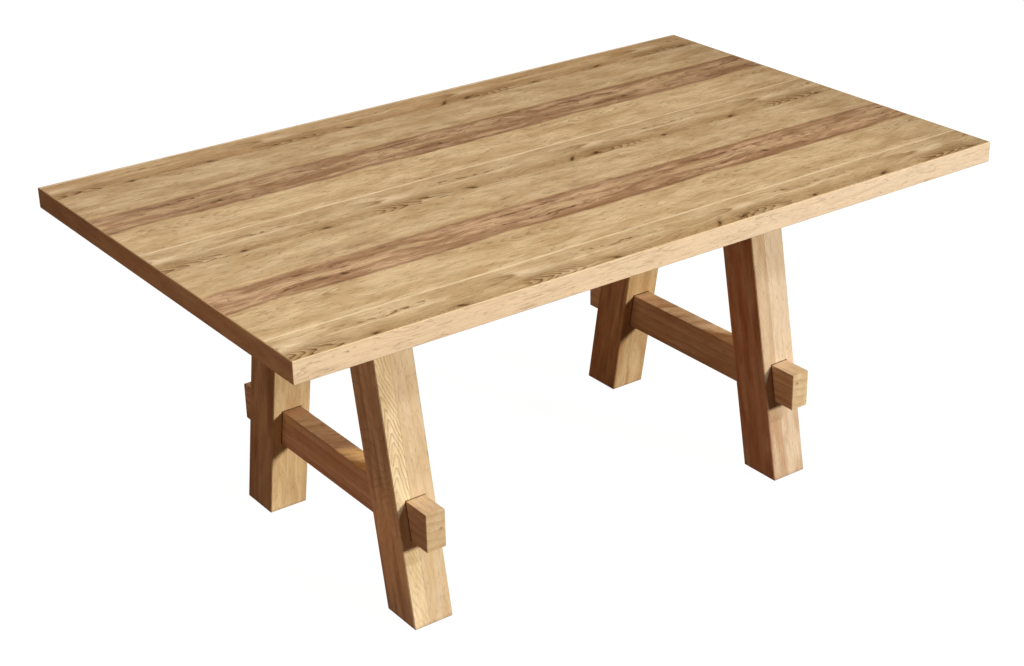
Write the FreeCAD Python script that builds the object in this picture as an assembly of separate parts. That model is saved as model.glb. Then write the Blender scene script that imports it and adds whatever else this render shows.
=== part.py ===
import FreeCAD
import Part
import math
import os

# A trestle dining table, in millimetres. A planked top with banded edges stands on two trestles.
# Each trestle has two splayed legs, a low rail that runs through both of them and a bearer on top.
# X runs along the table, Y across it and Z up. The origin is on the floor under the table's centre.
# Front is the -Y side and left is the -X end.

# Whole table
table_length = 1700.0
table_width = 1030.0
table_height = 762.0

# Tabletop: sawn face boards and a backing sheet on a core panel, with a band round the edges
top_thickness = 44.0
face_thickness = 6.0
backing_thickness = 3.0
band_thickness = 3.0
band_arris = 1.2
# Widths of the face boards, from the back edge to the front edge
board_width_shares = (0.088, 0.127, 0.108, 0.120, 0.108, 0.122, 0.108, 0.122, 0.097)

# Legs: each is glued up from a narrow stave and a wide one, side by side along the table
trestle_spacing = 962.0
foot_spread = 676.0
leg_splay_degrees = 10.6
leg_width = 90.0
leg_depth = 98.0
leg_arris = 1.8
narrow_stave_share = 0.4

# Rails: one section from end to end, so that the whole rail passes through the legs
rail_width = 45.0
rail_height = 84.0
rail_floor_gap = 184.0
rail_projection = 62.0
rail_arris = 1.2
mortise_clearance = 0.4
mortise_arris = 1.2

# Bearers: as wide as the legs, with ends that rise towards the top
bearer_height = 60.0
bearer_end_height = 28.0
bearer_overhang = 165.0
bearer_taper_share = 0.5
bearer_arris = 2.0

# Stub tenons on the legs, in blind mortises in the bearers
tenon_width = 50.0
tenon_depth = 44.0
tenon_height = 36.0
tenon_clearance = 0.2
tenon_end_gap = 2.0

# Connector bolts, up through the bearers into threaded inserts in the top
bolt_diameter = 8.0
bolt_head_diameter = 17.0
bolt_head_height = 2.5
bolt_socket_width = 5.0
bolt_socket_depth = 4.0
bolt_hole_clearance = 0.5
bolt_row_share = 0.26
recess_depth = 24.0
recess_clearance = 2.0
insert_diameter = 14.0
insert_length = 22.0
insert_clearance = 0.1
bolt_end_gap = 2.0

# Felt pads: one stuck under each foot
pad_diameter = 40.0
pad_height = 4.0

# How far a cut runs past the face that it opens
overrun = 5.0

# Heights
top_underside = table_height - top_thickness
bearer_underside = top_underside - bearer_height
rail_top = rail_floor_gap + rail_height

# The slanted leg, measured level
splay_slope = math.tan(math.radians(leg_splay_degrees))
leg_level_depth = leg_depth / math.cos(math.radians(leg_splay_degrees))

UP = FreeCAD.Vector(0, 0, 1)
ENDS = {"left": -1, "right": 1}
SIDES = {"front": -1, "back": 1}


def leg_outer_y(z):
    """How far a leg's outer face stands from the table's centre plane at height z."""
    return foot_spread / 2 - splay_slope * z


def leg_centre_y(z):
    """The middle of a leg's level section at height z."""
    return leg_outer_y(z) - leg_level_depth / 2


def trestle_x(end):
    return ENDS[end] * trestle_spacing / 2


def block(low, high):
    """A box between two opposite corners."""
    size = [b - a for a, b in zip(low, high)]
    return Part.makeBox(size[0], size[1], size[2], FreeCAD.Vector(*low))


def post(radius, x, y, low_z, high_z):
    """An upright cylinder."""
    return Part.makeCylinder(radius, high_z - low_z, FreeCAD.Vector(x, y, low_z), UP)


def bolt_places():
    """Where the bolts stand: in pairs on each bearer, just outside both legs."""
    flat_end = bearer_overhang * (1 - bearer_taper_share)
    outer_y = leg_outer_y(bearer_underside) + flat_end / 2
    row_x = leg_width * bolt_row_share
    return [
        (trestle_x(end) + row * row_x, SIDES[side] * outer_y)
        for end in ENDS
        for side in SIDES
        for row in (-1, 1)
    ]


# Tabletop

def panel(low_z, high_z):
    """A level that fills the top inside the edge bands."""
    half_length = table_length / 2 - band_thickness
    half_width = table_width / 2 - band_thickness
    return block((-half_length, -half_width, low_z), (half_length, half_width, high_z))


def insert_holes():
    """Holes for the threaded inserts, opening at the top's underside."""
    radius = insert_diameter / 2 + insert_clearance
    high = top_underside + insert_length
    return [post(radius, x, y, top_underside - overrun, high) for x, y in bolt_places()]


def core_panel():
    core = panel(top_underside + backing_thickness, table_height - face_thickness)
    return core.cut(insert_holes())


def backing_panel():
    backing = panel(top_underside, top_underside + backing_thickness)
    return backing.cut(insert_holes())


def face_boards():
    """The boards that show on the top, from the back edge to the front edge."""
    half_length = table_length / 2 - band_thickness
    inner_width = table_width - 2 * band_thickness
    low_z = table_height - face_thickness
    boards = []
    used_share = 0
    for share in board_width_shares:
        back_y = inner_width * (1 / 2 - used_share / sum(board_width_shares))
        used_share += share
        front_y = inner_width * (1 / 2 - used_share / sum(board_width_shares))
        boards.append(block((-half_length, front_y, low_z), (half_length, back_y, table_height)))
    return boards


def edge_bands():
    """Four strips round the top, mitred at the corners, with their outer edges eased."""
    half_length = table_length / 2
    half_width = table_width / 2
    slab = block((-half_length, -half_width, top_underside), (half_length, half_width, table_height))
    slab = slab.makeChamfer(band_arris, slab.Edges)
    ring = slab.cut(panel(top_underside - overrun, table_height + overrun))
    reaches = (overrun, -2 * band_thickness)
    corners = {
        (sx, sy): [
            FreeCAD.Vector(sx * (half_length + reach), sy * (half_width + reach), top_underside - overrun)
            for reach in reaches
        ]
        for sx in (-1, 1)
        for sy in (-1, 1)
    }
    strips = {
        "front": ((-1, -1), (1, -1)),
        "back": ((1, 1), (-1, 1)),
        "left": ((-1, 1), (-1, -1)),
        "right": ((1, -1), (1, 1)),
    }
    bands = {}
    for name, (first, second) in strips.items():
        outer_a, inner_a = corners[first]
        outer_b, inner_b = corners[second]
        outline = Part.makePolygon([outer_a, outer_b, inner_b, inner_a, outer_a])
        wedge = Part.Face(outline).extrude(UP * (top_thickness + 2 * overrun))
        bands[name] = ring.common(wedge)
    return bands


# Trestles

def slanted_leg(side):
    """The leg's outer form: stock leant inwards, cut level at the pad and the bearer, edges eased."""
    half_x = leg_width / 2
    half_y = leg_depth / 2
    stock = block((-half_x, -half_y, -table_height), (half_x, half_y, 2 * table_height))
    stock.rotate(FreeCAD.Vector(0, 0, 0), FreeCAD.Vector(1, 0, 0), SIDES[side] * leg_splay_degrees)
    stock.translate(FreeCAD.Vector(0, SIDES[side] * leg_centre_y(0), 0))
    level = block((-leg_width, -foot_spread, pad_height), (leg_width, foot_spread, bearer_underside))
    leg = stock.common(level)
    outer_edges = [e for e in leg.Edges if e.BoundBox.ZMin < bearer_underside - leg_arris]
    return leg.makeChamfer(leg_arris, outer_edges)


def stub_tenon(side, clearance, end_gap):
    """A leg's upright tenon, or with a clearance and an end gap the mortise that takes it."""
    half_width = tenon_width / 2 + clearance
    half_depth = tenon_depth / 2 + clearance
    y = SIDES[side] * leg_centre_y(bearer_underside)
    high = bearer_underside + tenon_height + end_gap
    return block((-half_width, y - half_depth, bearer_underside), (half_width, y + half_depth, high))


def cut_rail_mortise(leg):
    """Cuts the way through a leg for the rail, and eases its mouth on both faces of the leg."""
    half_width = rail_width / 2 + mortise_clearance
    reach = foot_spread / 2 + overrun
    high = rail_top + mortise_clearance
    leg = leg.cut(block((-half_width, -reach, rail_floor_gap), (half_width, reach, high)))
    mouth = []
    for edge in leg.Edges:
        box = edge.BoundBox
        beside = max(-box.XMin, box.XMax) < half_width + mortise_clearance
        level = box.ZMin > rail_floor_gap - mortise_clearance and box.ZMax < high + mortise_clearance
        if beside and level and box.YLength < leg_level_depth / 2:
            mouth.append(edge)
    return leg.makeChamfer(mortise_arris, mouth)


def leg_staves(end, side):
    """The narrow and the wide stave of one leg, each with its share of the tenon and the mortise."""
    leg = cut_rail_mortise(slanted_leg(side))
    leg = leg.fuse(stub_tenon(side, 0, 0)).removeSplitter()
    glue_x = leg_width * (narrow_stave_share - 1 / 2)
    reach = foot_spread / 2 + overrun
    half = leg_width / 2 + overrun
    cutters = {
        "narrow": block((-half, -reach, 0), (glue_x, reach, table_height)),
        "wide": block((glue_x, -reach, 0), (half, reach, table_height)),
    }
    staves = {}
    for name, cutter in cutters.items():
        staves[name] = leg.common(cutter)
        staves[name].translate(FreeCAD.Vector(trestle_x(end), 0, 0))
    return staves


def rail(end):
    half_length = leg_outer_y(rail_floor_gap + rail_height / 2) + rail_projection
    x = trestle_x(end)
    beam = block(
        (x - rail_width / 2, -half_length, rail_floor_gap),
        (x + rail_width / 2, half_length, rail_top),
    )
    return beam.makeChamfer(rail_arris, beam.Edges)


def bearer(end):
    half_length = leg_outer_y(bearer_underside) + bearer_overhang
    flat_half = half_length - bearer_overhang * bearer_taper_share
    end_z = top_underside - bearer_end_height
    right_half = [(half_length, top_underside), (half_length, end_z), (flat_half, bearer_underside)]
    left_half = [(-y, z) for y, z in reversed(right_half)]
    profile = [FreeCAD.Vector(-leg_width / 2, y, z) for y, z in right_half + left_half]
    face = Part.Face(Part.makePolygon(profile + profile[:1]))
    beam = face.extrude(FreeCAD.Vector(leg_width, 0, 0))
    lower_edges = [e for e in beam.Edges if e.BoundBox.ZMax < top_underside]
    beam = beam.makeChamfer(bearer_arris, lower_edges)
    beam = beam.cut([stub_tenon(side, tenon_clearance, tenon_end_gap) for side in SIDES])
    beam.translate(FreeCAD.Vector(trestle_x(end), 0, 0))
    hole_radius = bolt_diameter / 2 + bolt_hole_clearance
    recess_radius = bolt_head_diameter / 2 + recess_clearance
    holes = []
    for x, y in bolt_places():
        holes.append(post(hole_radius, x, y, bearer_underside, top_underside + overrun))
        holes.append(post(recess_radius, x, y, bearer_underside - overrun, bearer_underside + recess_depth))
    return beam.cut(holes)


# Hardware

def bolt(x, y):
    """A connector bolt with a wide flat head, up through the bearer into the insert."""
    seat = bearer_underside + recess_depth
    tip = top_underside + insert_length - bolt_end_gap
    head_low = seat - bolt_head_height
    head = post(bolt_head_diameter / 2, x, y, head_low, seat)
    shank = post(bolt_diameter / 2, x, y, seat, tip)
    corner_radius = bolt_socket_width / math.sqrt(3)
    middle = FreeCAD.Vector(x, y, head_low)
    corners = []
    for step in range(7):
        angle = math.radians(60 * step)
        corners.append(middle + FreeCAD.Vector(math.cos(angle), math.sin(angle), 0) * corner_radius)
    socket = Part.Face(Part.makePolygon(corners)).extrude(UP * bolt_socket_depth)
    return head.fuse(shank).cut(socket)


def threaded_insert(x, y):
    high = top_underside + insert_length
    bore = post(bolt_diameter / 2 + insert_clearance, x, y, top_underside, high)
    return post(insert_diameter / 2, x, y, top_underside, high).cut(bore)


def foot_pad(end, side):
    y = SIDES[side] * leg_centre_y(pad_height)
    return post(pad_diameter / 2, trestle_x(end), y, 0, pad_height)


def build():
    """Every piece of the table, by name."""
    pieces = {"core_panel": core_panel(), "backing_panel": backing_panel()}
    for number, board in enumerate(face_boards(), start=1):
        pieces[f"face_board_{number}"] = board
    for name, band in edge_bands().items():
        pieces[f"edge_band_{name}"] = band
    for end in ENDS:
        pieces[f"bearer_{end}"] = bearer(end)
        pieces[f"rail_{end}"] = rail(end)
        for side in SIDES:
            for name, stave in leg_staves(end, side).items():
                pieces[f"leg_{end}_{side}_{name}_stave"] = stave
    places = bolt_places()
    pieces["bearer_bolts"] = Part.makeCompound([bolt(x, y) for x, y in places])
    pieces["threaded_inserts"] = Part.makeCompound([threaded_insert(x, y) for x, y in places])
    pieces["foot_pads"] = Part.makeCompound([foot_pad(end, side) for end in ENDS for side in SIDES])
    return pieces


os.makedirs("parts", exist_ok=True)
for name, shape in build().items():
    shape.exportStep(f"parts/{name}.step")
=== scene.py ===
"""Trestle dining table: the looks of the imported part, its stage, its light and its camera."""

import math

import bpy
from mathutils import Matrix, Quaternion, Vector


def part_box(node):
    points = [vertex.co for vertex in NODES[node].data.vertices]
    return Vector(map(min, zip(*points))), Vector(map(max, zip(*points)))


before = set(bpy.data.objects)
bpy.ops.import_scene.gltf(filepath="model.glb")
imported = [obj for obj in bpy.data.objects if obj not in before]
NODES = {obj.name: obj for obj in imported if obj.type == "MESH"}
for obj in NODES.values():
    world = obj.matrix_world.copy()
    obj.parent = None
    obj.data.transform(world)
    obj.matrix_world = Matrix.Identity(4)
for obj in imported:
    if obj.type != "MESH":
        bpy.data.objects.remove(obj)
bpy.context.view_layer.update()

# The lean of the legs, and how far out their outer and inner faces meet the floor, in metres
LEG_SPLAY = math.radians(10.6)
LEG_FACE_AT_FLOOR = 0.338
LEG_BACK_AT_FLOOR = 0.2383

# The figure of the top boards comes back along the table, from the table's left end, in metres
FIGURE_START = -0.85
FIGURE_REPEAT = 0.512

# How far a dip in a surface reaches, in metres
GRAIN_DEPTH = 0.0004
TURNING_DEPTH = 0.0002

# How far the seed of a piece moves its figure, along the grain and between layers, in metres
SEED_SHIFT = 1.37
SEED_LAYER = 2.11

# How squarely a surface has to face a direction to begin to count as a face of it, and to count in full
FACING = (0.6, 0.8)


def srgb(red, green, blue):
    """A colour as it reads on a screen, from 0 to 255, as the linear colour that a shader takes."""
    shares = [c / 255 for c in (red, green, blue)]
    linear = [((c + 0.055) / 1.055) ** 2.4 if c > 0.04045 else c / 12.92 for c in shares]
    return (*linear, 1.0)


# Colours of the wood, from light to dark
CREAM = srgb(242, 219, 180)
BLUSH = srgb(231, 213, 192)
APRICOT = srgb(232, 206, 172)
# the colour of a painted patch of light on a rail's top
PAINTED_LIGHT_GOLD = srgb(246, 200, 138)
PEACH = srgb(224, 200, 168)
PALE_TAN = srgb(222, 197, 155)
TAN = srgb(211, 183, 140)
PINK_BROWN = srgb(208, 174, 138)
GREY_TAN = srgb(199, 169, 126)
AMBER = srgb(212, 164, 112)
HONEY = srgb(188, 154, 108)
HEART_BROWN = srgb(166, 131, 96)
RUST = srgb(164, 110, 74)
OLIVE_BROWN = srgb(146, 112, 68)
RED_BROWN = srgb(138, 102, 70)
DARK_OLIVE = srgb(118, 84, 42)
DARK_BROWN = srgb(116, 80, 53)
KNOT_BROWN = srgb(80, 54, 23)


class Field:
    """A number that varies over a surface. Sums and products of fields become nodes of the graph."""

    def __init__(self, graph, socket):
        self.graph = graph
        self.socket = socket

    def __add__(self, other):
        return self.graph.math("ADD", self, other)

    def __radd__(self, other):
        return self.graph.math("ADD", other, self)

    def __sub__(self, other):
        return self.graph.math("SUBTRACT", self, other)

    def __rsub__(self, other):
        return self.graph.math("SUBTRACT", other, self)

    def __mul__(self, other):
        return self.graph.math("MULTIPLY", self, other)

    def __pow__(self, other):
        return self.graph.math("POWER", self, other)

    def __abs__(self):
        return self.graph.math("ABSOLUTE", self)


class Graph:
    """One material, written as formulas: each call adds a node and gives back what comes out of it."""

    def __init__(self, name):
        self.material = bpy.data.materials.new(name)
        self.material.use_nodes = True
        self.tree = self.material.node_tree
        self.tree.nodes.clear()

    def node(self, kind, **settings):
        """A new node with its settings."""
        made = self.tree.nodes.new(kind)
        for name, value in settings.items():
            setattr(made, name, value)
        return made

    def put(self, socket, value):
        """Links a field to an input, or sets the input to a plain value."""
        if isinstance(value, Field):
            self.tree.links.new(value.socket, socket)
        else:
            socket.default_value = value

    def field(self, socket):
        return Field(self, socket)

    def math(self, operation, *values):
        """The outcome of a sum, product or other operation."""
        made = self.node("ShaderNodeMath", operation=operation)
        for socket, value in zip(made.inputs, values):
            self.put(socket, value)
        return self.field(made.outputs[0])

    def place(self):
        """Where a point of the surface is, in metres, as three fields."""
        coordinates = self.node("ShaderNodeTexCoord")
        parts = self.node("ShaderNodeSeparateXYZ")
        self.tree.links.new(coordinates.outputs["Object"], parts.inputs[0])
        return [self.field(out) for out in parts.outputs]

    def facing(self):
        """How squarely the surface faces along x, y and z, either way, from 0 to 1."""
        geometry = self.node("ShaderNodeNewGeometry")
        parts = self.node("ShaderNodeSeparateXYZ")
        self.tree.links.new(geometry.outputs["True Normal"], parts.inputs[0])
        return [abs(self.field(out)) for out in parts.outputs]

    def vector(self, *parts):
        """Three numbers as one vector."""
        made = self.node("ShaderNodeCombineXYZ")
        for socket, value in zip(made.inputs, parts):
            self.put(socket, value)
        return self.field(made.outputs[0])

    def noise(self, *parts, detail=2.0, roughness=0.5, distortion=0.0):
        """Smooth noise from 0 to 1, with one bump for each whole step of the parts."""
        made = self.node("ShaderNodeTexNoise")
        self.put(made.inputs["Vector"], self.vector(*parts))
        made.inputs["Scale"].default_value = 1.0
        made.inputs["Detail"].default_value = detail
        made.inputs["Roughness"].default_value = roughness
        made.inputs["Distortion"].default_value = distortion
        return self.field(made.outputs["Fac"])

    def step(self, value, low, high):
        """0 below low and 1 above high, with a smooth rise between. With low above high, it falls."""
        made = self.node("ShaderNodeMapRange", interpolation_type="SMOOTHSTEP")
        self.put(made.inputs["Value"], value)
        turned = low > high
        made.inputs["From Min"].default_value = min(low, high)
        made.inputs["From Max"].default_value = max(low, high)
        made.inputs["To Min"].default_value = 1.0 if turned else 0.0
        made.inputs["To Max"].default_value = 0.0 if turned else 1.0
        return self.field(made.outputs["Result"])

    def hill(self, value, middle, reach):
        """1 where the value is at the middle, falling off smoothly to about 0 at twice the reach."""
        off = (value - middle) * (1 / reach)
        return self.math("EXPONENT", off * off * -1.0)

    def spot(self, along, across, centre, reach):
        """1 at a point of the surface, falling off smoothly round it."""
        off_along = (along - centre[0]) * (1 / reach[0])
        off_across = (across - centre[1]) * (1 / reach[1])
        return self.math("EXPONENT", (off_along * off_along + off_across * off_across) * -1.0)

    def rings(self, count, sharpness):
        """Growth rings: each darkens slowly to its late wood and starts again pale."""
        return self.math("FRACT", count) ** sharpness

    def mix(self, share, first, second):
        """The first colour where the share is 0 and the second where it is 1."""
        made = self.node("ShaderNodeMix", data_type="RGBA", clamp_factor=True)
        self.put(made.inputs[0], share)
        self.put(made.inputs[6], first)
        self.put(made.inputs[7], second)
        return self.field(made.outputs[2])

    def shade(self, colour, light):
        """A colour made lighter or darker all over by one field."""
        made = self.node("ShaderNodeVectorMath", operation="SCALE")
        self.put(made.inputs[0], colour)
        self.put(made.inputs["Scale"], light)
        return self.field(made.outputs[0])

    def finish(self, colour, roughness, height, depth, specular=0.3, metallic=0.0):
        """The shader itself. Height dents the surface by up to the depth."""
        bump = self.node("ShaderNodeBump")
        bump.inputs["Strength"].default_value = 1.0
        bump.inputs["Distance"].default_value = depth
        self.put(bump.inputs["Height"], height)
        shader = self.node("ShaderNodeBsdfPrincipled")
        self.put(shader.inputs["Base Color"], colour)
        self.put(shader.inputs["Roughness"], roughness)
        shader.inputs["Specular IOR Level"].default_value = specular
        shader.inputs["Metallic"].default_value = metallic
        self.tree.links.new(bump.outputs["Normal"], shader.inputs["Normal"])
        out = self.node("ShaderNodeOutputMaterial")
        self.tree.links.new(shader.outputs["BSDF"], out.inputs["Surface"])
        return self.material


class Wood(Graph):
    """A graph with the layers that all the wood shares. Along, across and under follow the grain."""

    def __init__(self, name, seed):
        super().__init__(name)
        self.seed = seed
        self.x, self.y, self.z = self.place()

    def grain_along(self, along, across, under):
        """Turns the grain, by three fields that measure along it, across it and into the wood."""
        self.along = along + self.seed * SEED_SHIFT
        self.across = across
        self.under = under

    def cloud(self, length, width, detail=2.0, shift=0.0, distortion=0.0):
        """Soft patches, from 0 to 1, of a length along the grain and a width across it, in metres."""
        parts = (self.along * (1 / length), self.across * (1 / width) + shift, self.under * (1 / width))
        return self.noise(*parts, detail=detail, distortion=distortion)

    def patches(self, length, width, low, high, detail=2.0, shift=0.0):
        """Clouds cut to islands: 0 where a cloud is thinner than low and 1 where it is denser than high."""
        return self.step(self.cloud(length, width, detail, shift), low, high)

    def flame(self, length, width, count, sharpness, shift=0.0):
        """Flat-sawn figure: rings round long islands, that shade off to one side."""
        return self.rings(self.cloud(length, width, 1.5, shift, distortion=0.4) * count, sharpness)

    def fibres(self):
        """Fine streaks along the grain, about 0 on average."""
        coarse = self.cloud(length=0.035, width=0.0044, detail=4.0, shift=5.3, distortion=0.5) - 0.5
        fine = self.cloud(length=0.018, width=0.0016, detail=2.0, shift=9.1) - 0.5
        return coarse * 0.6 + fine * 0.6

    def pores(self):
        """Short dark dashes, open at the surface."""
        return self.patches(length=0.014, width=0.0013, low=0.63, high=0.75, detail=1.0, shift=2.7)

    def hairs(self):
        """Short thin lines, a little off the direction of the grain."""
        lines = self.flame(length=0.16, width=0.018, count=5.0, sharpness=9.0, shift=17.0)
        return lines * self.patches(length=0.05, width=0.012, low=0.54, high=0.64, shift=18.0)

    def wisps(self):
        """Broken lines of late wood that wander along the grain, now thick and now thin."""
        lines = self.flame(length=0.24, width=0.034, count=11.0, sharpness=7.0, shift=12.1)
        return lines * self.patches(length=0.08, width=0.018, low=0.42, high=0.58, detail=3.0, shift=14.2)

    def arris(self):
        """1 on the narrow chamfers, which face between the main directions."""
        x, y, z = self.facing()
        largest = self.math("MAXIMUM", self.math("MAXIMUM", x, y), z)
        return self.step(largest, 0.93, 0.8)

    def faces(self):
        """1 on the faces that point along x, y and z, as three fields."""
        return [self.step(part, *FACING) for part in self.facing()]

    def mottle(self, dark, light, length=0.14, width=0.022):
        """A colour that drifts between two, in patches with ragged edges."""
        return self.mix(self.patches(length, width, low=0.34, high=0.66, detail=6.0), dark, light)

    def oiled(self, colour, figure, worn=0.06, relief=0.25, streaky=0.50):
        """The oiled surface. Fibres and pores tint the colour and dent it, and the figure dents it by its
        relief. Arrises are paler where worn is above 0 and darker where it is below."""
        fibres, pores = self.fibres(), self.pores()
        light = 1.0 + fibres * streaky - pores * 0.30 + self.arris() * worn
        patchy = self.cloud(length=0.09, width=0.02, shift=4.4)
        roughness = 0.52 + patchy * 0.12 + pores * 0.15 - fibres * 0.10
        height = fibres * 0.7 - pores * 0.6 - figure * relief
        return self.finish(self.shade(colour, light), roughness, height, GRAIN_DEPTH)


# How light a top board is, where that differs from what its kind of wood has
# Partly each board's own lightness, partly painted shade that darkens the boards towards the table's back
BOARD_TONES_AND_SHADE = {
    "face_board_1": 0.86,
    "face_board_2": 0.91,
    "face_board_3": 0.98,
    "face_board_5": 0.93,
    "face_board_6": 0.95,
    "face_board_7": 1.05,
    "face_board_9": 0.97,
}

# How far the grain of a top board sways across it, in metres
BOARD_SWAY = 0.030


class Board(Wood):
    """A top board, whose grain sways. It knows how far a point is from the board's back edge, in metres and
    as a share of its width."""

    def __init__(self, name, seed):
        super().__init__(name, seed)
        low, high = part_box(name)
        self.width = high.y - low.y
        self.from_back = high.y - self.y
        self.share = self.from_back * (1 / self.width)
        self.grain_along(self.x, self.from_back, self.z)
        self.bend = self.cloud(length=0.20, width=0.05, shift=1.0) - 0.5
        self.rough = self.cloud(length=0.03, width=0.010, detail=3.0, shift=1.5) - 0.5
        self.swing = self.cloud(length=0.085, width=0.05, shift=2.0) - 0.5
        self.across = self.across + self.swing * BOARD_SWAY
        self.tone_and_shade = BOARD_TONES_AND_SHADE.get(name, 1.0)

    def fibres(self):
        """Fine streaks, gathered in bundles that show from farther off."""
        bundles = self.cloud(length=0.045, width=0.0070, detail=3.0, shift=7.7, distortion=0.3) - 0.5
        return super().fibres() + bundles * 0.5

    def hairs(self):
        """Short thin lines, closer together than in the other wood."""
        lines = self.flame(length=0.15, width=0.016, count=8.0, sharpness=11.0, shift=17.0)
        return lines * self.patches(length=0.035, width=0.009, low=0.47, high=0.56, shift=18.0)

    def oiled(self, colour, figure):
        """The oiled surface, in the board's own lightness and painted shade, with more painted shade
        towards the table's right end.
        """
        # painted shade, darker towards the table's right end
        light = self.tone_and_shade - self.step(self.x, 0.62, 0.84) * 0.13
        return super().oiled(self.shade(colour, light), figure, streaky=0.64)

    def mottle(self, dark, light):
        """A colour that drifts between two, in patches as wide as a board needs."""
        return super().mottle(dark, light, length=0.12, width=0.038)

    def past(self, start):
        """How far a point is past a place of the figure that comes back along the table, in repeats."""
        along = self.x + self.bend * 0.08 + self.rough * 0.04
        at = (along - FIGURE_START) * (1 / FIGURE_REPEAT) - start
        return self.math("FRACT", at + 0.5) - 0.5

    def stretch(self, start, end, soft=0.12):
        """1 on one stretch of the figure, from start to end in repeats."""
        half = (end - start) / 2
        return self.step(abs(self.past(start + half)), half, half - soft)

    def line(self, at, reach, wave):
        """A line along the board, at a share of its width, that waves by a share."""
        return self.hill(self.share + (self.bend + self.swing) * wave + self.rough * 0.06, at, reach)

    def arches(self, tip_share, width, spacing, sway, sharpness):
        """Nested arches of late wood that lie along the board, with their tips at a share of its width."""
        off = (self.share - tip_share) * (self.width / width) + self.bend * 0.8
        count = self.x * (1 / spacing) + off * off
        return self.rings(count + self.bend * sway + self.rough * 0.6, sharpness)


# Knots of the knotty boards: how far along the table and from the board's front edge, in metres, how large,
# and how much they slant towards the back
KNOTS = (
    (-0.680, 0.006, 0.9, 0.1),
    (-0.500, 0.007, 1.0, -0.2),
    (-0.156, 0.007, 1.1, -0.5),
    (0.100, 0.012, 1.2, 1.0),
    (0.165, 0.012, 1.1, 0.4),
    (0.350, 0.007, 0.8, 0.2),
    (0.540, 0.009, 1.0, 0.4),
    (0.800, 0.007, 0.8, 0.0),
)

# How far a knot of size 1, the dark round it and the bent grain round that reach, along the board and
# across it, in metres
KNOT_REACH = (0.0085, 0.0040)
HALO_REACH = (0.0220, 0.0080)
SWIRL_REACH = (0.060, 0.014)

# Where the arrow of the knotty boards' figure ends, in repeats of the figure and shares of the width
ARROW_TIP = 0.977
ARROW_SHARE = 0.43


def knotty_board(name, seed):
    """Board with a line of sapwood at its back edge, and knots and flames along its front edge. The one at
    the back of the table is warmer."""
    g = Board(name, seed)
    knots = 0.0
    halo = 0.0
    swirl = 0.0
    for middle, from_front, size, slant in KNOTS:
        centre = (middle, g.width - from_front)
        turned = g.from_back + (g.x - middle) * slant
        rough_along, rough_across = g.x + g.rough * 0.025, turned + g.rough * 0.010
        knot_reach, halo_reach, swirl_reach = [
            [part * size for part in reach] for reach in (KNOT_REACH, HALO_REACH, SWIRL_REACH)
        ]
        knots = knots + g.spot(rough_along, rough_across, centre, knot_reach)
        halo = halo + g.spot(rough_along, rough_across, centre, halo_reach)
        swirl = swirl + g.spot(g.x, g.from_back, centre, swirl_reach)
    count = g.across * (1 / 0.016) + swirl * 3.0
    figure = g.rings(count + g.cloud(length=0.20, width=0.045, detail=2.5, shift=3.0) * 6.0, 4.0)
    front_half = g.line(0.86, 0.26, 0.10)
    at_front = g.line(0.90, 0.30, 0.08)
    flames = g.arches(tip_share=0.88, width=0.013, spacing=0.028, sway=7.5, sharpness=2.6)
    flames = flames * at_front * g.stretch(-0.12, 0.30)
    thin = g.patches(length=0.12, width=0.0050, low=0.48, high=0.58, shift=3.3)
    slivers = g.hill(g.share + g.past(0.18) * 0.35, 0.93, 0.07) * thin * g.stretch(0.02, 0.36)
    ripple = g.arches(tip_share=0.94, width=0.010, spacing=0.011, sway=9.0, sharpness=4.0)
    ripple = ripple * g.line(0.90, 0.11, 0.10) * g.stretch(0.34, 0.80)
    broken = g.patches(length=0.016, width=0.008, low=0.50, high=0.58, detail=3.0, shift=9.0)
    flecks = g.line(0.37, 0.030, 0.30) * broken * g.stretch(0.16, 0.70)
    flecks = flecks + g.line(0.38, 0.018, 0.30) * g.stretch(0.26, 0.62) * 0.35
    streak = g.line(0.50, 0.028, 0.12) * g.stretch(0.14, 0.72)
    past_tip = g.past(ARROW_TIP)
    off_tip = (g.share + g.swing * 0.10 - ARROW_SHARE) * (1 / 0.085)
    arrow = past_tip * 22.0 + off_tip * off_tip
    arrow_edge = g.hill(arrow, 0.0, 0.45) * g.step(past_tip, -0.16, -0.02)
    inside = g.step(arrow, 0.2, -0.6) * g.step(past_tip, -0.20, -0.06)
    lens = g.step(arrow, 0.1, 1.2) * g.line(0.46, 0.12, 0.15) * g.step(past_tip, 0.20, 0.06)
    lens = lens * g.step(past_tip, -0.02, 0.02)
    sap = g.step(g.from_back + g.bend * 0.009 + g.rough * 0.004, 0.0076, 0.0030)
    colour = g.mottle(GREY_TAN, PALE_TAN)
    colour = g.mix(front_half * 0.45, colour, HONEY)
    colour = g.mix(g.step(g.y, 0.34, 0.44) * 0.30, colour, AMBER)
    colour = g.mix(figure * (front_half * 0.44 + 0.14), colour, OLIVE_BROWN)
    colour = g.mix(g.wisps() * 0.50, colour, OLIVE_BROWN)
    colour = g.mix(g.hairs() * 0.60, colour, DARK_OLIVE)
    colour = g.mix(inside * 0.35, colour, OLIVE_BROWN)
    colour = g.mix(lens * 0.80, colour, CREAM)
    colour = g.mix(arrow_edge * 0.75, colour, OLIVE_BROWN)
    colour = g.mix(swirl * 0.18, colour, OLIVE_BROWN)
    colour = g.mix(ripple * 0.62, colour, DARK_OLIVE)
    colour = g.mix(flames * 1.45, colour, DARK_OLIVE)
    colour = g.mix(slivers * 0.40, colour, CREAM)
    colour = g.mix(flecks * 0.75, colour, DARK_OLIVE)
    colour = g.mix(halo * 0.50, colour, OLIVE_BROWN)
    colour = g.mix(knots * 1.15, colour, KNOT_BROWN)
    colour = g.mix(streak * 0.55, colour, CREAM)
    colour = g.mix(sap * 0.85, colour, CREAM)
    return g.oiled(colour, figure)


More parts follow.
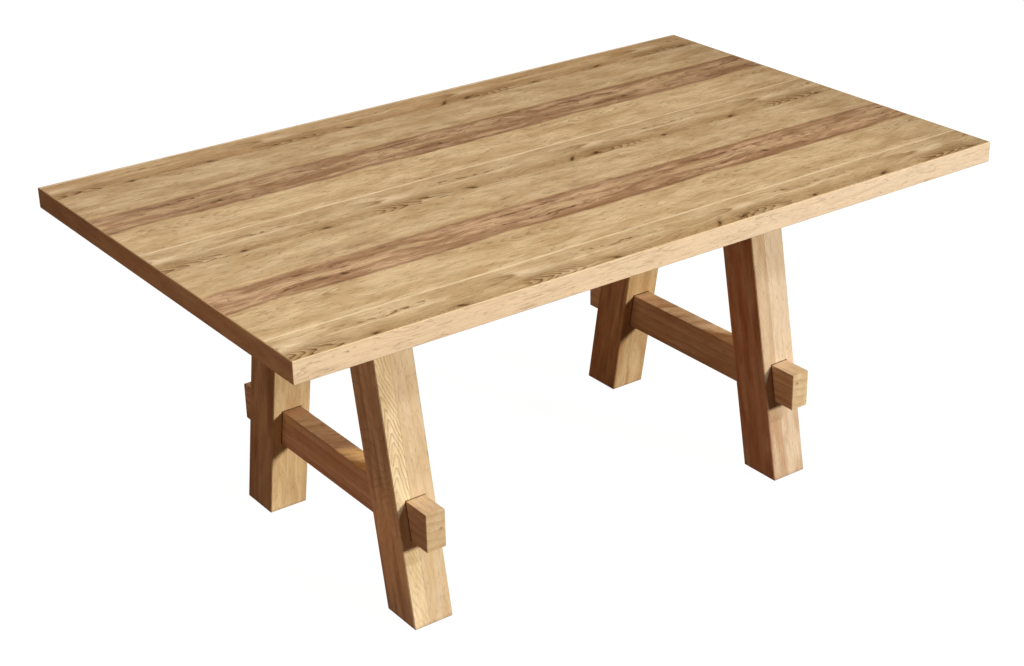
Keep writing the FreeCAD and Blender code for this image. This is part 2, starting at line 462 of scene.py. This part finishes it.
def calm_figure(g):
    """Faint rings of the calm boards."""
    return g.flame(length=0.26, width=0.06, count=6.0, sharpness=3.0, shift=3.0)


def calm_grain(g, colour, figure):
    """A calm board's colour with its rings, wisps and hairs."""
    colour = g.mix(figure * 0.16, colour, OLIVE_BROWN)
    colour = g.mix(g.wisps() * 0.48, colour, OLIVE_BROWN)
    return g.mix(g.hairs() * 0.75, colour, DARK_OLIVE)


def tan_board(name, seed):
    """Calm board: soft clouds, faint rings and darker smudges near its front edge."""
    g = Board(name, seed)
    figure = calm_figure(g)
    smudge = g.line(0.82, 0.12, 0.10) * g.stretch(0.42, 0.80)
    smudge = smudge * g.patches(length=0.05, width=0.014, low=0.42, high=0.66, detail=3.0, shift=8.0)
    colour = calm_grain(g, g.mottle(GREY_TAN, PALE_TAN), figure)
    colour = g.mix(smudge * 0.5, colour, RED_BROWN)
    return g.oiled(colour, figure)


def arched_board(name, seed):
    """Calm board with small arches of late wood near its back edge."""
    g = Board(name, seed)
    figure = calm_figure(g)
    arches = g.arches(tip_share=0.20, width=0.012, spacing=-0.034, sway=4.0, sharpness=4.0)
    arches = arches * g.line(0.21, 0.14, 0.10) * g.stretch(0.02, 0.50)
    pale = g.line(0.40, 0.28, 0.10) * g.stretch(0.46, 0.92)
    colour = g.mix(pale * 0.50, g.mottle(GREY_TAN, PALE_TAN), PALE_TAN)
    colour = calm_grain(g, colour, figure)
    colour = g.mix(arches * 0.80, colour, OLIVE_BROWN)
    return g.oiled(colour, figure)


# Knots of the dark boards: how far along the table, in metres, at which share of the width, and how far
# they reach, in metres along and as a share across
HEART_KNOTS = (-0.590, -0.062, 0.447)
HEART_KNOT_SHARE = 0.69
HEART_KNOT_REACH = (0.007, 0.045)

# Where the rows of dark dashes run, as shares of the width
HEART_ROWS = (0.28, 0.69)


def dark_board(name, seed):
    """Reddish heartwood that frays at its edges, with pale streaks and rows of dark dashes."""
    g = Board(name, seed)
    fray = g.rough * 0.10 + g.swing * 0.08
    back_line = g.share - g.step(g.x, -0.40, -0.85) * 0.10 + fray
    front_line = g.share + g.stretch(0.98, 1.42, soft=0.20) * 0.06 + fray
    heart = g.step(back_line, -0.06, 0.09) * g.step(front_line, 1.04, 0.94)
    rim = g.hill(back_line, 0.05, 0.05) * g.step(g.x, -0.60, -0.40) + g.hill(front_line, 0.94, 0.05)
    figure = g.flame(length=0.18, width=0.032, count=8.0, sharpness=5.0, shift=3.0)
    blotches = g.patches(length=0.12, width=0.018, low=0.38, high=0.62, detail=5.0, shift=4.0)
    brown = g.patches(length=0.16, width=0.045, low=0.42, high=0.62, detail=3.0, shift=7.0)
    thin = g.patches(length=0.14, width=0.0055, low=0.46, high=0.58, detail=2.0, shift=3.3)
    streak = g.line(0.49, 0.10, 0.10) * g.stretch(0.02, 0.72) * (thin * 0.7 + 0.25)
    front_streak = g.line(0.87, 0.07, 0.10) * g.stretch(0.0, 0.44) * thin
    lens = g.line(0.40, 0.20, 0.16) * g.stretch(0.62, 1.08)
    lens = lens * g.patches(length=0.11, width=0.018, low=0.46, high=0.56, shift=6.0)
    broken = g.patches(length=0.018, width=0.012, low=0.48, high=0.56, detail=3.0, shift=9.0)
    dots = 0.0
    threads = 0.0
    for at in HEART_ROWS:
        dots = dots + g.line(at, 0.036, 0.26) * broken
        threads = threads + g.line(at, 0.014, 0.26)
    rows = (dots * 0.85 + threads * 0.50) * g.stretch(0.14, 0.60)
    rough_along = g.x + g.rough * 0.02
    rough_share = g.share + g.rough * 0.12
    knots = 0.0
    for middle in HEART_KNOTS:
        centre = (middle, HEART_KNOT_SHARE)
        knots = knots + g.spot(rough_along, rough_share, centre, HEART_KNOT_REACH)
    wood = g.mix(blotches, HEART_BROWN, PINK_BROWN)
    wood = g.mix(brown * 0.45, wood, RED_BROWN)
    wood = g.mix(lens * 0.6, wood, TAN)
    wood = g.mix(figure * 0.75, wood, RED_BROWN)
    wood = g.mix((streak + front_streak) * 0.80, wood, TAN)
    wood = g.mix(rim * 0.70, wood, RED_BROWN)
    wood = g.mix(g.wisps() * 0.90, wood, DARK_BROWN)
    colour = g.mix(heart, g.mottle(GREY_TAN, TAN), wood)
    colour = g.mix(rows, colour, DARK_BROWN)
    colour = g.mix(g.hairs() * 0.60, colour, DARK_BROWN)
    colour = g.mix(knots, colour, KNOT_BROWN)
    return g.oiled(colour, figure)


def band(g, ground, rings, wisps, top, worn):
    """An edge band with long fine grain on its ground colour, and a top that goes with the boards."""
    figure = g.flame(length=0.40, width=0.03, count=5.0, sharpness=3.0, shift=3.0)
    up = g.step(g.facing()[2], 0.5, 0.8)
    colour = g.mix(figure * rings, ground, HEART_BROWN)
    colour = g.mix(g.wisps() * wisps, colour, RED_BROWN)
    colour = g.mix(g.hairs() * 0.70, colour, RED_BROWN)
    colour = g.mix(up * 0.75, colour, top)
    return g.oiled(colour, figure, worn=worn, streaky=0.38)


def long_band(name, seed):
    """A strip along the front or back of the top, with painted light that pales it towards the table's
    right end.
    """
    g = Wood(name, seed)
    g.grain_along(g.x, g.z, g.y)
    # painted light: paler and bluer towards the table's right end
    ground = g.mix(g.step(g.x, -0.6, 0.8) * 0.40, g.mottle(PEACH, APRICOT), BLUSH)
    top = TAN if name == "edge_band_front" else HONEY
    return band(g, g.shade(ground, 0.95), rings=0.16, wisps=0.44, top=top, worn=0.02)


def end_band(name, seed):
    """A strip along an end of the top, of browner wood, with painted shade that darkens it all over and
    most towards the table's back.
    """
    g = Wood(name, seed)
    g.grain_along(g.y, g.z, g.x)
    reddish = g.patches(length=0.10, width=0.030, low=0.44, high=0.64, detail=4.0, shift=8.0)
    ground = g.mix(reddish * 0.35, g.mottle(HEART_BROWN, HONEY), RUST)
    # painted shade, darkest towards the table's back
    ground = g.shade(ground, g.step(g.y, 0.5, -0.4) * 0.16 + 0.72)
    return band(g, ground, rings=0.50, wisps=0.70, top=HONEY, worn=-0.25)


def leg_grain(g, front):
    """Turns a graph's grain along a leg, which leans in towards its head."""
    lean = 1 if front else -1
    up, over = math.cos(LEG_SPLAY), math.sin(LEG_SPLAY) * lean
    g.grain_along(g.z * up + g.y * over, g.x, g.y * up - g.z * over)


# The side faces of a leg, by whether it is near and left: how much rust they have in warm patches and all
# over, and how much painted light makes them lighter than its front all over and low down, with painted
# shade where below 0
SIDE_LOOKS = {
    (True, True): (0.3, 0.0, -0.20, 0.42),
    (True, False): (0.5, 0.35, 0.50, 0.0),
    (False, True): (0.5, 0.0, -0.20, 0.0),
    (False, False): (0.5, 0.0, 0.28, 0.0),
}


def leg_figure(g, low, narrow, strong):
    """A stave's growth rings and how deep they show: nested arches on a narrow stave, straight grain on a
    wide one."""
    wave = g.cloud(length=0.22, width=0.12, detail=1.0, shift=1.0)
    ripple = g.cloud(length=0.035, width=0.03, detail=2.0, shift=2.0)
    if not narrow:
        return g.rings(g.across * (1 / 0.020) + wave * 6.0 + ripple * 0.8, 3.0), 0.18
    bold = g.patches(length=0.09, width=0.04, low=0.36, high=0.62, shift=4.0)
    off = g.across - (low.x + 0.010) + (wave - 0.5) * 0.06
    arch = g.math("SQRT", off * off + 0.003 ** 2)
    arches = g.rings(arch * (1 / 0.0065) + g.along * (1 / 0.024) + ripple * 1.2, 4.0)
    if strong:
        depth = g.step(g.z, 0.12, 0.32) * 0.38 + 0.37
    else:
        depth = g.step(g.z, 0.40, 0.52) * 0.35 + 0.20
    return arches * (bold * 0.7 + 0.4), depth


def leg_ground(g, narrow, near, left, side):
    """The colour that a stave has under its figure, with painted light low on the back left leg's front."""
    if near and left:
        return g.mottle(PALE_TAN, CREAM) if narrow else g.mottle(TAN, PEACH)
    if near and narrow:
        return g.shade(g.mottle(PINK_BROWN, PEACH), 0.86)
    if near:
        return g.shade(g.mix(0.35, g.mottle(PEACH, APRICOT), BLUSH), 0.885)
    if left:
        # painted light: the back left leg's front is lighter low down, where light reaches under the top,
        # and a little darker above
        painted_front_light = g.step(g.z, 0.30, 0.14) * 0.32 - 0.06
        return g.shade(g.mottle(GREY_TAN, PALE_TAN), 1.0 + (1.0 - side) * painted_front_light)
    return g.mottle(HONEY, TAN)


def leg_stave(name, seed):
    """A leg's narrow or wide stave, with darker sides that also carry painted light and shade, and a glue
    line where the two meet.
    """
    low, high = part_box(name)
    narrow = "narrow" in name
    near = "front" in name
    left = "left" in name
    g = Wood(name, seed)
    leg_grain(g, near)
    side = g.faces()[0]
    rust_patches, rust, light, light_low = SIDE_LOOKS[near, left]
    figure, depth = leg_figure(g, low, narrow, strong=near and left)
    glue = g.hill(g.x, high.x if narrow else low.x, 0.0009)
    streaks = g.patches(length=0.13, width=0.014, low=0.46, high=0.68, detail=5.0, shift=6.0)
    warm = g.patches(length=0.22, width=0.030, low=0.42, high=0.64, detail=4.0, shift=7.0)
    stain = g.patches(length=0.10, width=0.030, low=0.40, high=0.62, detail=3.0, shift=11.0)
    stain = stain * g.step(g.z, 0.24, 0.10) * (0.10 if left else 0.40)
    # darker low on the side faces and along the bottom edge of the foot
    darker_low = side * g.step(g.z, 0.10, 0.0) * 0.4 + g.step(g.z, 0.014, 0.004) * 0.6
    colour = leg_ground(g, narrow, near, left, side)
    colour = g.mix(figure * (1.0 - side * 0.6) * depth, colour, OLIVE_BROWN if narrow else HEART_BROWN)
    colour = g.mix(g.wisps() * 0.30, colour, HEART_BROWN)
    colour = g.mix(g.hairs() * 0.25, colour, RED_BROWN)
    colour = g.mix(side * (warm * rust_patches + rust), colour, RUST)
    colour = g.mix(side * streaks * 0.36, colour, DARK_BROWN)
    colour = g.mix(stain, colour, HEART_BROWN if left else RUST)
    colour = g.mix(darker_low * 0.5, colour, DARK_BROWN)
    # painted light and shade on the side faces, all over and low down
    colour = g.shade(colour, 1.0 + side * (light + g.hill(g.z, 0.17, 0.12) * light_low))
    colour = g.mix(glue * (0.28 if near and left else 0.12), colour, DARK_BROWN)
    return g.oiled(colour, figure, worn=-0.20, relief=0.08, streaky=0.28)


# What differs between the rails. The knot on the ends is off the rail's middle and over the floor, in
# metres. Between the legs, the top has shares of pink, of pale strokes and of a painted patch of light.
# The ends have a share of honey. Painted light makes the sides, the tops that stand out past the legs and
# the sides there lighter by the rest, and painted shade makes them darker where the rest is below 0.
RAIL_LOOKS = {
    "rail_left": {
        "knot": (0.012, 0.228), "pink": 0.85, "pale": 0.30, "painted_light_gold": 0.95, "honey": 0.30,
        "side_light": 0.10, "outer_top_light": 0.42, "outer_side_light": -0.25,
    },
    "rail_right": {
        "knot": (-0.010, 0.246), "pink": 0.60, "pale": 0.75, "painted_light_gold": 0.15, "honey": 0.0,
        "side_light": 0.26, "outer_top_light": 0.16, "outer_side_light": 0.10,
    },
}


def rail(name, seed):
    """A rail with flat rings that lie as soft layers on its ends, and slanted strokes across its top."""
    low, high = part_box(name)
    looks = RAIL_LOOKS[name]
    g = Wood(name, seed)
    g.grain_along(g.y, g.x, g.z)
    side, end, top = g.faces()
    out = abs(g.y) + g.z * math.tan(LEG_SPLAY)
    inner_top = top * g.step(out, LEG_FACE_AT_FLOOR, LEG_FACE_AT_FLOOR - 0.010)
    outer_top = top - inner_top
    outer_side = side * g.step(out, LEG_FACE_AT_FLOOR, LEG_FACE_AT_FLOOR + 0.006)
    wave = g.cloud(length=0.30, width=0.05, detail=2.5, shift=1.0)
    figure = g.rings(g.z * (1 / 0.018) + g.x * 5.0 + wave * 1.2, 2.0)
    slanted = g.y + (g.x - low.x) * 0.45
    strokes = g.noise(
        slanted * (1 / 0.013), g.x * (1 / 0.07), g.seed * SEED_SHIFT, detail=4.0, roughness=0.6)
    bands = g.noise(slanted * (1 / 0.055), g.x * (1 / 0.20), g.seed * SEED_LAYER, detail=2.0)
    middle = g.hill(g.y, 0.03, 0.085)
    dark_strokes = g.step(strokes, 0.50, 0.62) * (middle * 0.7 + 0.3)
    pale_strokes = g.step(strokes, 0.47, 0.36) * middle
    # painted light: a patch on the top between the legs, near the near leg, where light comes in under the
    # table top
    painted_light_patch = g.step(slanted, -0.012, -0.040) * inner_top
    streaks = g.patches(length=0.40, width=0.016, low=0.46, high=0.66, detail=3.0, shift=6.0)
    knot_off, knot_over = looks["knot"]
    knot = g.spot(g.x, g.z, ((low.x + high.x) / 2 + knot_off, knot_over), (0.004, 0.003)) * end
    # painted shade: dark lines where the rail goes into the legs; shaded is soft painted shade by the inner
    # faces of the legs and along the lower edge of the sides
    painted_mouth_shade = g.hill(out, LEG_FACE_AT_FLOOR, 0.0018) + g.hill(out, LEG_BACK_AT_FLOOR, 0.0018)
    shaded = g.hill(out, LEG_BACK_AT_FLOOR, 0.018) + side * g.step(g.z, low.z + 0.014, low.z) * 0.7
    # painted light on the sides, the tops between and past the legs and the sides past them, and painted
    # shade where a share is below 0
    light = 1.0 + side * looks["side_light"] + inner_top * 0.15
    light = light + outer_top * looks["outer_top_light"] + outer_side * looks["outer_side_light"]
    colour = g.mottle(TAN, PEACH)
    colour = g.mix(inner_top * looks["pink"], colour, PINK_BROWN)
    colour = g.mix(inner_top * g.step(bands, 0.45, 0.60) * 0.40, colour, RUST)
    colour = g.mix(painted_light_patch * looks["painted_light_gold"], colour, PAINTED_LIGHT_GOLD)
    colour = g.mix(inner_top * dark_strokes * 0.50, colour, RED_BROWN)
    colour = g.mix(inner_top * pale_strokes * looks["pale"], colour, BLUSH)
    colour = g.mix(figure * (1.0 - top) * 0.40, colour, HEART_BROWN)
    colour = g.mix(end * looks["honey"], colour, HONEY)
    colour = g.mix((streaks * 0.30 + 0.15) * side, colour, RUST)
    colour = g.shade(colour, light)
    colour = g.mix(g.wisps() * 0.25, colour, RED_BROWN)
    colour = g.mix(g.hairs() * 0.30, colour, DARK_BROWN)
    colour = g.mix(knot * 0.7, colour, DARK_BROWN)
    colour = g.mix(shaded * 0.35, colour, DARK_BROWN)
    colour = g.mix(painted_mouth_shade * 0.8, colour, KNOT_BROWN)
    return g.oiled(colour, figure, worn=-0.25, streaky=0.34)


def bearer(name, seed):
    """A plain planed bearer, a little darker than what shows."""
    g = Wood(name, seed)
    g.grain_along(g.y, g.x, g.z)
    figure = g.flame(length=0.40, width=0.04, count=5.0, sharpness=3.0, shift=3.0)
    colour = g.mottle(HONEY, TAN)
    colour = g.mix(figure * 0.28, colour, RED_BROWN)
    return g.oiled(colour, figure)


def panel(name, seed):
    """Veneer of the backing and the core."""
    g = Wood(name, seed)
    g.grain_along(g.x, g.y, g.z)
    figure = g.flame(length=0.60, width=0.10, count=7.0, sharpness=3.0, shift=3.0)
    colour = g.mottle(GREY_TAN, TAN)
    colour = g.mix(figure * 0.25, colour, HONEY)
    return g.oiled(colour, figure)


def metal(name, seed, colour, worn):
    """Metal with fine turning marks and a few dull patches."""
    g = Graph(name)
    x, y, z = g.place()
    marks = g.noise(x * 400.0 + seed, y * 400.0, z * 6000.0, detail=2.0)
    dull = g.noise(x * 90.0, y * 90.0 + seed, z * 90.0, detail=3.0)
    tint = g.mix(g.step(dull, 0.5, 0.7) * 0.5, colour, worn)
    roughness = 0.28 + marks * 0.12 + dull * 0.12
    return g.finish(tint, roughness, marks, TURNING_DEPTH, specular=0.5, metallic=1.0)


def bolts(name, seed):
    """Zinc-plated steel."""
    return metal(name, seed, srgb(190, 190, 194), srgb(140, 140, 142))


def inserts(name, seed):
    """Brass."""
    return metal(name, seed, srgb(206, 172, 104), srgb(150, 116, 62))


def felt(name, seed):
    """Pressed felt: matted hairs in mixed greys and browns."""
    g = Graph(name)
    x, y, z = g.place()
    hairs = g.noise(x * 900.0 + seed, y * 900.0, z * 900.0, detail=4.0, roughness=0.7, distortion=1.5)
    clumps = g.noise(x * 120.0, y * 120.0 + seed, z * 120.0, detail=2.0)
    colour = g.mix(hairs, srgb(92, 80, 70), srgb(160, 146, 130))
    return g.finish(g.shade(colour, 0.8 + clumps * 0.4), 0.95, hairs, GRAIN_DEPTH, specular=0.1)


# What each node is made of, with a number that moves its figure
FINISHES = {
    "face_board_1": (knotty_board, 0), "face_board_2": (tan_board, 1), "face_board_3": (dark_board, 2),
    "face_board_4": (arched_board, 3), "face_board_5": (knotty_board, 4), "face_board_6": (tan_board, 5),
    "face_board_7": (dark_board, 6), "face_board_8": (arched_board, 7), "face_board_9": (knotty_board, 8),
    "edge_band_front": (long_band, 9), "edge_band_back": (long_band, 10),
    "edge_band_left": (end_band, 11), "edge_band_right": (end_band, 12),
    "core_panel": (panel, 13), "backing_panel": (panel, 14),
    "bearer_left": (bearer, 15), "bearer_right": (bearer, 16),
    "rail_left": (rail, 17), "rail_right": (rail, 18),
    "bearer_bolts": (bolts, 19), "threaded_inserts": (inserts, 20), "foot_pads": (felt, 21),
}
STAVES = sorted(name for name in NODES if name.endswith("_stave"))
FINISHES.update({name: (leg_stave, len(FINISHES) + i) for i, name in enumerate(STAVES)})


def dress():
    """Gives every node of the part its finish."""
    for name, (make, seed) in FINISHES.items():
        slots = NODES[name].data.materials
        slots.clear()
        slots.append(make(name, seed))


# Stage: the floor's size in metres, its colour, how much of it glows and how brightly, what the camera sees
# past it, and the light from all sides
FLOOR_SIZE = 60.0
FLOOR_COLOUR = srgb(252, 252, 252)
FLOOR_GLOW = 0.92
FLOOR_BRIGHTNESS = 1.10
BACKGROUND = srgb(253, 253, 253)
AMBIENT = (0.080, 0.040, 0.025, 1.0)
LIGHT_TARGET = Vector((0.0, 0.0, 0.4))


def floor():
    """A plain pale floor that keeps soft shadows and throws no light back up."""
    bpy.ops.mesh.primitive_plane_add(size=FLOOR_SIZE)
    plane = bpy.context.object
    plane.name = "floor"
    plane.visible_diffuse = False
    plane.visible_glossy = False
    g = Graph("floor")
    glow = g.node("ShaderNodeEmission")
    glow.inputs["Color"].default_value = FLOOR_COLOUR
    glow.inputs["Strength"].default_value = FLOOR_BRIGHTNESS
    matt = g.node("ShaderNodeBsdfDiffuse")
    matt.inputs["Color"].default_value = FLOOR_COLOUR
    both = g.node("ShaderNodeMixShader")
    both.inputs["Fac"].default_value = FLOOR_GLOW
    g.tree.links.new(matt.outputs[0], both.inputs[1])
    g.tree.links.new(glow.outputs[0], both.inputs[2])
    out = g.node("ShaderNodeOutputMaterial")
    g.tree.links.new(both.outputs[0], out.inputs["Surface"])
    plane.data.materials.append(g.material)


def surroundings():
    """A pale background to look at, with a dim warm light from all sides."""
    world = bpy.data.worlds.new("studio")
    bpy.context.scene.world = world
    world.use_nodes = True
    tree = world.node_tree
    tree.nodes.clear()
    seen = tree.nodes.new("ShaderNodeBackground")
    seen.inputs["Color"].default_value = BACKGROUND
    dim = tree.nodes.new("ShaderNodeBackground")
    dim.inputs["Color"].default_value = AMBIENT
    path = tree.nodes.new("ShaderNodeLightPath")
    both = tree.nodes.new("ShaderNodeMixShader")
    out = tree.nodes.new("ShaderNodeOutputWorld")
    tree.links.new(path.outputs["Is Camera Ray"], both.inputs[0])
    tree.links.new(dim.outputs[0], both.inputs[1])
    tree.links.new(seen.outputs[0], both.inputs[2])
    tree.links.new(both.outputs[0], out.inputs["Surface"])


def softbox(name, direction, distance, size, strength, colour):
    """A square area light that faces the table, with its distance and size in metres. Strength is what it
    gives a white face turned to it."""
    towards = Vector(direction).normalized()
    lamp = bpy.data.lights.new(name, "AREA")
    lamp.shape = "SQUARE"
    lamp.size = size
    lamp.color = colour
    lamp.energy = strength * math.pi ** 2 * distance ** 2
    box = bpy.data.objects.new(name, lamp)
    box.location = LIGHT_TARGET + towards * distance
    box.rotation_mode = "QUATERNION"
    box.rotation_quaternion = (-towards).to_track_quat("-Z", "Y")
    bpy.context.scene.collection.objects.link(box)
    return box


def lights():
    """A low warm key from the front right, a cooler one above it, and soft light from the other sides."""
    softbox("key_low", direction=(0.40, -0.88, 0.26), distance=16.0, size=2.2,
            strength=0.91, colour=(1.0, 0.95, 0.82))
    softbox("key_high", direction=(0.415, -0.66, 0.626), distance=12.0, size=0.8,
            strength=0.31, colour=(0.86, 0.93, 1.0))
    softbox("overhead", direction=(-0.38, -0.20, 0.90), distance=3.2, size=1.8,
            strength=0.385, colour=(0.97, 0.99, 1.0))
    softbox("left_fill", direction=(-0.99, -0.10, 0.05), distance=6.0, size=3.0,
            strength=0.242, colour=(1.0, 0.60, 0.42))
    right = softbox("right_fill", direction=(0.94, 0.0, 0.30), distance=12.0, size=3.0,
                    strength=0.45, colour=(1.0, 0.74, 0.50))
    behind = softbox("behind", direction=(0.30, 0.95, 0.08), distance=12.0, size=3.4,
                     strength=0.45, colour=(1.0, 0.93, 0.82))
    for lamp in (right, behind):
        lamp.visible_glossy = False


# Camera: where the photographer stood and what they looked at, in metres, how far they tilted the picture,
# in radians, and their lens and sensor, in millimetres
CAMERA_PLACE = Vector((-2.202, -3.033, 2.145))
CAMERA_TARGET = Vector((-0.054, -0.026, 0.400))
CAMERA_ROLL = -0.0218
CAMERA_LENS = 67.36
CAMERA_SENSOR = 36.0


def camera():
    """Puts the camera where the photographer stood."""
    lens = bpy.data.cameras.new("camera")
    lens.lens = CAMERA_LENS
    lens.sensor_width = CAMERA_SENSOR
    eye = bpy.data.objects.new("camera", lens)
    eye.location = CAMERA_PLACE
    eye.rotation_mode = "QUATERNION"
    looking = (CAMERA_TARGET - CAMERA_PLACE).to_track_quat("-Z", "Y")
    eye.rotation_quaternion = looking @ Quaternion((0, 0, 1), CAMERA_ROLL)
    bpy.context.scene.collection.objects.link(eye)
    bpy.context.scene.camera = eye


dress()
floor()
surroundings()
lights()
camera()
bpy.context.scene.view_settings.view_transform = "Standard"
